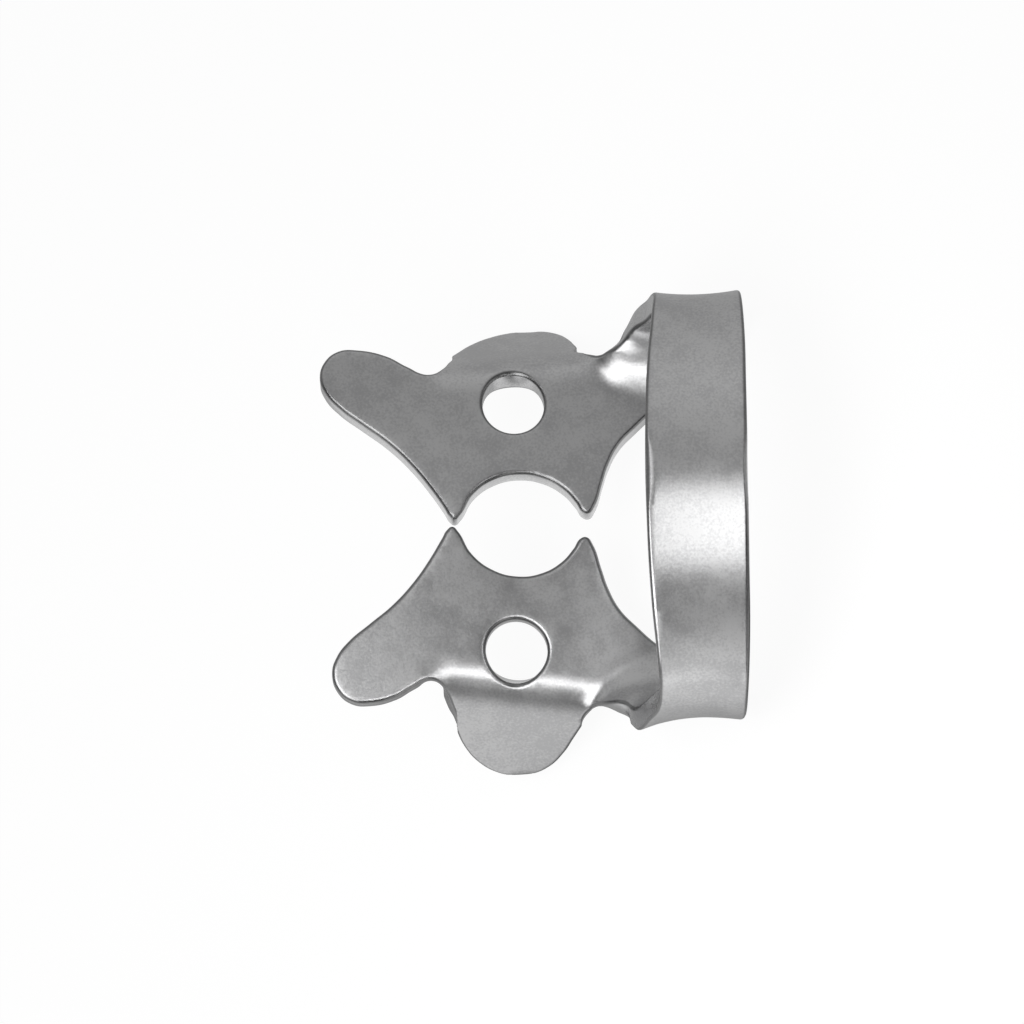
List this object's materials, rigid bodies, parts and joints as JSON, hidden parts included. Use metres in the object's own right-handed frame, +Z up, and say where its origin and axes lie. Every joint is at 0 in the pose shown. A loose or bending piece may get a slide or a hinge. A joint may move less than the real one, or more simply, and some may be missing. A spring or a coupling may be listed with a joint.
{
  "type": "rubber dam clamp",
  "caption": "Springy steel dental clamp: pronged jaws with forceps holes, side wings and downturned lobes, joined by a high arched bow.",
  "frame": {"origin": "middle of the clamp's footprint, on the surface that it lies on", "axes": "+X from the jaws to the bow, +Y across from one jaw to the other, +Z up, with the bow uppermost"},
  "size_m": [0.0218, 0.0208, 0.01],
  "materials": {
    "steel": "fine satin, tumbled edges"
  },
  "bodies": {
    "root": {"clamp": "steel"}
  },
  "joints": []
}
